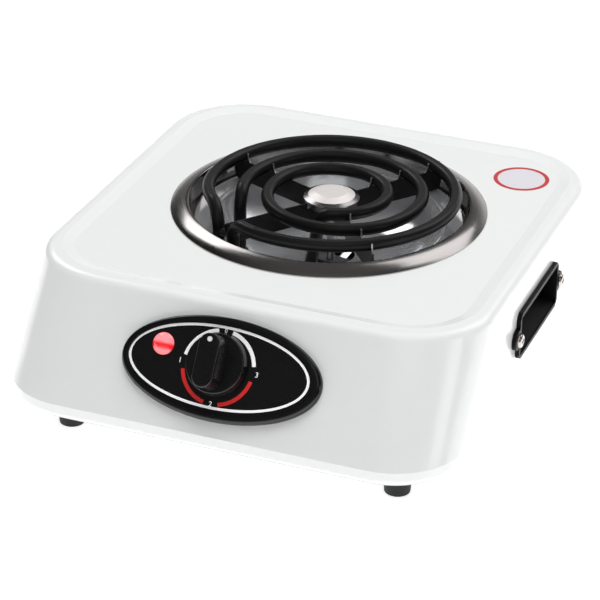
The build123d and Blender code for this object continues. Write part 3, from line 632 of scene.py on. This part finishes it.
def lay_floor(scene, stage):
    """A white floor that gives off some light of its own, so that shadows on it stay pale."""
    white = Finish("white_floor", (0.92, 0.92, 0.92), roughness=0.9, sockets={
        "Specular IOR Level": 0.0, "Emission Color": (1, 1, 1, 1), "Emission Strength": stage.glow})
    mesh = bpy.data.meshes.new("floor")
    corners = [(x * FLOOR_REACH, y * FLOOR_REACH, 0) for x, y in ((-1, -1), (1, -1), (1, 1), (-1, 1))]
    mesh.from_pydata(corners, [], [(0, 1, 2, 3)])
    mesh.materials.append(white.material)
    floor = bpy.data.objects.new("floor", mesh)
    scene.collection.objects.link(floor)


def hang_softboxes(scene, stage):
    """Square lights round the part."""
    for name, (side, place, mirrored) in SOFTBOXES.items():
        light = bpy.data.lights.new(name, "AREA")
        light.energy = getattr(stage, name)
        light.shape = "SQUARE"
        light.size = side
        lamp = bpy.data.objects.new(name, light)
        lamp.location = place
        lamp.rotation_mode = "QUATERNION"
        lamp.rotation_quaternion = (-Vector(place)).to_track_quat("-Z", "Y")
        lamp.visible_glossy = mirrored
        scene.collection.objects.link(lamp)


def set_camera(scene, stage):
    """The camera, on a line from its target that azimuth and elevation give."""
    back = Vector((math.sin(stage.azimuth) * math.cos(stage.elevation),
                   -math.cos(stage.azimuth) * math.cos(stage.elevation), math.sin(stage.elevation)))
    level_right = Vector((math.cos(stage.azimuth), math.sin(stage.azimuth), 0))
    level_up = back.cross(level_right)
    right = math.cos(stage.roll) * level_right + math.sin(stage.roll) * level_up
    up = back.cross(right)
    camera_data = bpy.data.cameras.new("camera")
    camera_data.lens = stage.lens
    camera_data.sensor_width = SENSOR_WIDTH
    camera = bpy.data.objects.new("camera", camera_data)
    axes = Matrix((right, up, back)).transposed()
    camera.matrix_world = Matrix.Translation(Vector(stage.target) + back * stage.distance) @ axes.to_4x4()
    scene.collection.objects.link(camera)
    scene.camera = camera


# ---- Operators ----------------------------------------------------------------------------------


class HOTPLATE_OT_housing(bpy.types.Operator):
    """Enamels the housing and finishes its base, feet, grips and screws"""
    bl_idname = "hotplate.housing"
    bl_label = "Housing"

    def execute(self, context):
        colours = context.scene.hotplate_finish
        dress("body_shell", glossy_enamel(colours.enamel, colours.ground))
        dress("base_plate", plain_metal("zinc_sheet", (0.50, 0.51, 0.52), roughness=0.42))
        rubber = satin_plastic("foot_rubber", (0.012, 0.012, 0.012), roughness=0.6)
        for node in frame["nodes"]:
            if node.startswith("foot_") and node != "foot_screws":
                dress(node, rubber)
        dress("cord_inlet", rubber)
        grip = satin_plastic("grip_plastic", (0.0035, 0.0035, 0.0037), roughness=0.45, grain=0.00003,
                             specular=0.12)
        dress("left_handle", grip)
        dress("right_handle", grip)
        screws = plain_metal("screw_steel", (0.54, 0.49, 0.47), roughness=0.2)
        for node in ("handle_screws", "base_screws", "foot_screws"):
            dress(node, screws)
        return {"FINISHED"}


class HOTPLATE_OT_burner(bpy.types.Operator):
    """Finishes the trim ring, pan, tubes, stand and cap"""
    bl_idname = "hotplate.burner"
    bl_label = "Burner"

    def execute(self, context):
        colours = context.scene.hotplate_finish
        dress("trim_ring", brushed_ring_steel(colours.steel))
        dress("drip_pan", mirror_pan())
        sheath = black_sheath(colours.sheath)
        dress("outer_element", sheath)
        dress("inner_element", sheath)
        for node in sorted(frame["nodes"]):
            if node.startswith("spider_arm_"):
                along = box_middle(node) - BURNER_MIDDLE
                across = Vector((-along.y, along.x, 0)).normalized()
                dress(node, cut_web(node.replace("spider_arm", "web"), across, TUBE_TOP - HORN_REACH))
        dress("spider_hub", plain_metal("hub_sheet", (0.20, 0.19, 0.19), roughness=0.35))
        dress("centre_cap", brushed_cap((0.95, 0.90, 0.88)))
        zinc = plain_metal("bright_zinc", (0.62, 0.62, 0.63))
        for node in ("centre_bolt", "centre_nut", "centre_bridge", "bridge_screws", "element_pins"):
            dress(node, zinc)
        dress("arm_spring", plain_metal("spring_steel", (0.10, 0.10, 0.10), roughness=0.25))
        dress("element_seals", satin_plastic("ceramic", (0.72, 0.70, 0.65), roughness=0.5))
        return {"FINISHED"}


class HOTPLATE_OT_controls(bpy.types.Operator):
    """Finishes the control panel, lamp and knob"""
    bl_idname = "hotplate.controls"
    bl_label = "Controls"

    def execute(self, context):
        colours = context.scene.hotplate_finish
        dress("panel_face", satin_plastic("panel_gloss", (0.0065, 0.0065, 0.007), roughness=0.14,
                                          grain=0.000002))
        dress("panel_bezel", satin_plastic("bezel_plastic", colours.plastic, roughness=0.1, grain=0.000002))
        dress("control_knob", satin_plastic("knob_plastic", colours.plastic, roughness=0.26, grain=0.000006))
        dress("pilot_lamp_lens", lamp_lens(colours.lamp))
        return {"FINISHED"}


class HOTPLATE_OT_inside(bpy.types.Operator):
    """Finishes the switch, terminals and wiring"""
    bl_idname = "hotplate.inside"
    bl_label = "Inside"

    def execute(self, context):
        zinc = plain_metal("switch_zinc", (0.58, 0.58, 0.60))
        brass = plain_metal("tag_brass", (0.70, 0.52, 0.22))
        nylon = satin_plastic("pale_nylon", (0.62, 0.60, 0.55), roughness=0.5)
        finishes = {
            "switch_shaft": zinc, "switch_screws": zinc, "lamp_clip": zinc,
            "switch_tags": brass, "earth_screw": brass,
            "terminal_block": nylon, "pilot_lamp_body": nylon,
            "selector_switch": satin_plastic("switch_moulding", (0.30, 0.19, 0.10), roughness=0.5),
            "heater_leads": satin_plastic("white_sleeve", (0.70, 0.69, 0.65), roughness=0.6),
            "lamp_leads": satin_plastic("thin_white_sleeve", (0.70, 0.69, 0.65), roughness=0.6),
            "mains_leads": satin_plastic("red_sleeve", (0.42, 0.05, 0.04), roughness=0.6),
        }
        for node, material in finishes.items():
            dress(node, material)
        return {"FINISHED"}


class HOTPLATE_OT_dial_print(bpy.types.Operator):
    """Prints the oval line, the arcs and the digits on the control panel"""
    bl_idname = "hotplate.dial_print"
    bl_label = "Dial print"

    def execute(self, context):
        dial = context.scene.hotplate_dial
        height = FACE_HEIGHT + INK_LIFT

        def place(across, up):
            return on_panel(dial.middle_across + across, dial.middle_up + up, height)

        def oval(grow):
            def line(share):
                angle = -math.tau * share
                return ((dial.oval_across + grow) * math.cos(angle), (dial.oval_up + grow) * math.sin(angle))
            return line

        def arc(radius, start, stop):
            return lambda share: clock_point(radius, start + (stop - start) * share)

        def dial_band(start, stop):
            return strip(place, arc(dial.arc_inner, start, stop), arc(dial.arc_outer, start, stop), steps=24)

        white_shapes = [strip(place, oval(-dial.line_width), oval(0), steps=160)]
        white_shapes += [dial_band(*ends) for ends in WHITE_ARCS]
        middle_radius = (dial.arc_inner + dial.arc_outer) / 2
        for digit, angle, aside, share in DIGITS:
            across, up = clock_point(middle_radius + aside, angle)
            white_shapes.append(text_points(
                digit, share * dial.digit_height,
                lambda x, y, across=across, up=up: place(across + x, up + y)))
        red_shapes = [dial_band(*ends) for ends in RED_ARCS]
        # The white ink's faint glow is painted light that keeps it bright on the sloped panel.
        white_ink = ink("white_ink", dial.white, glow=0.2)
        red_ink = ink("red_ink", dial.red)
        new_piece("dial_white_print", *joined(white_shapes), white_ink, "housing", "panel_black")
        new_piece("dial_red_print", *joined(red_shapes), red_ink, "housing", "panel_black")
        return {"FINISHED"}


class HOTPLATE_OT_knob_detail(bpy.types.Operator):
    """Knurls the flanks of the knob's bar and prints the dot on its top"""
    bl_idname = "hotplate.knob_detail"
    bl_label = "Knob detail"

    def execute(self, context):
        knob = context.scene.hotplate_knob
        plastic = frame["nodes"]["control_knob"].data.materials[0]
        tree = knurl_tree()
        holder = bpy.data.objects.new("knurl_holder", bpy.data.meshes.new("knurl_holder"))
        context.scene.collection.objects.link(holder)
        modifier = holder.modifiers.new("knurl", "NODES")
        modifier.node_group = tree
        columns = round(knob.knurl_long / knob.knurl_pitch)
        rows = round(knob.knurl_high / knob.knurl_pitch)
        values = {"Columns": columns, "Rows": rows, "Pitch": knob.knurl_pitch, "Depth": knob.knurl_depth,
                  "Flank": KNOB_WIDTH / 2 - KNURL_SINK, "Material": plastic}
        for item in tree.interface.items_tree:
            if item.name in values:
                modifier[item.identifier] = values[item.name]
        context.view_layer.update()
        evaluated = holder.evaluated_get(context.evaluated_depsgraph_get())
        mesh = bpy.data.meshes.new_from_object(evaluated)
        bpy.data.objects.remove(holder)
        # The tree lays the field out across X, along Y and outwards Z, about the knob's axis.
        middle = on_panel(0, 0, knob.knurl_out)
        axes = Matrix((PANEL_ACROSS, PANEL_UP, PANEL_OUT)).transposed()
        mesh.transform(Matrix.Translation(middle) @ axes.to_4x4())
        mesh.materials.clear()
        mesh.materials.append(plastic)
        piece = bpy.data.objects.new("knob_knurling", mesh)
        context.scene.collection.objects.link(piece)
        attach(piece, "knob")

        def on_bar(across, up):
            return on_panel(across, knob.dot_reach + up, KNOB_HEIGHT + INK_LIFT)

        new_piece("knob_dot", *disc(on_bar, knob.dot_radius), ink("dot_ink", (0.85, 0.85, 0.85)), "knob",
                  "black_plastic")
        return {"FINISHED"}


class HOTPLATE_OT_round_film(bpy.types.Operator):
    """Lays a plain round film with a red band on the top"""
    bl_idname = "hotplate.round_film"
    bl_label = "Round film"

    def execute(self, context):
        mark = context.scene.hotplate_mark
        middle = Vector((mark.across, BURNER_MIDDLE.y + mark.along, TOP_PANEL + FILM_LIFT))

        def place(across, along):
            return middle + Vector((across, along, 0))

        def circle(radius):
            return lambda share: (radius * math.cos(math.tau * share), radius * math.sin(math.tau * share))

        band = strip(place, circle(mark.radius - mark.band), circle(mark.radius), steps=96)
        new_piece("film_band", *band, ink("band_ink", mark.red), "housing", "enamel")
        film = satin_plastic("grey_film", (0.72, 0.71, 0.75), roughness=0.3)
        new_piece("film_middle", *disc(lambda across, along: place(across, along) - Vector((0, 0, FILM_STEP)),
                                       mark.radius - mark.band, steps=96), film, "housing", "enamel")
        return {"FINISHED"}


class HOTPLATE_OT_stage(bpy.types.Operator):
    """Makes the room, the floor, the lights and the camera"""
    bl_idname = "hotplate.stage"
    bl_label = "Stage"

    def execute(self, context):
        scene = context.scene
        scene.view_settings.view_transform = "Standard"
        for make in (light_room, lay_floor, hang_softboxes, set_camera):
            make(scene, scene.hotplate_stage)
        return {"FINISHED"}


class HOTPLATE_PT_panel(bpy.types.Panel):
    """Lists the pieces and their settings"""
    bl_label = "Hot plate"
    bl_idname = "HOTPLATE_PT_panel"
    bl_space_type = "VIEW_3D"
    bl_region_type = "UI"
    bl_category = "Hot plate"

    def draw(self, context):
        for operator in OPERATORS:
            self.layout.operator(operator.bl_idname)
        for name in SETTINGS:
            group = getattr(context.scene, name)
            box = self.layout.box()
            for key in group.bl_rna.properties.keys():
                if key not in ("rna_type", "name"):
                    box.prop(group, key)


OPERATORS = (HOTPLATE_OT_housing, HOTPLATE_OT_burner, HOTPLATE_OT_controls, HOTPLATE_OT_inside,
             HOTPLATE_OT_dial_print, HOTPLATE_OT_knob_detail, HOTPLATE_OT_round_film, HOTPLATE_OT_stage)
SETTINGS = {"hotplate_finish": FinishSettings, "hotplate_dial": DialSettings, "hotplate_knob": KnobSettings,
            "hotplate_mark": MarkSettings, "hotplate_stage": StageSettings}


def register():
    """Adds the settings, operators and panel."""
    for cls in (*SETTINGS.values(), *OPERATORS, HOTPLATE_PT_panel):
        bpy.utils.register_class(cls)
    for name, group in SETTINGS.items():
        setattr(bpy.types.Scene, name, bpy.props.PointerProperty(type=group))


def unregister():
    """Takes the settings, operators and panel away."""
    for name in SETTINGS:
        delattr(bpy.types.Scene, name)
    for cls in reversed((*SETTINGS.values(), *OPERATORS, HOTPLATE_PT_panel)):
        bpy.utils.unregister_class(cls)


def main():
    """Builds every piece and the stage."""
    register()
    for operator in OPERATORS:
        group, name = operator.bl_idname.split(".")
        getattr(getattr(bpy.ops, group), name)()


if __name__ == "__main__":
    main()
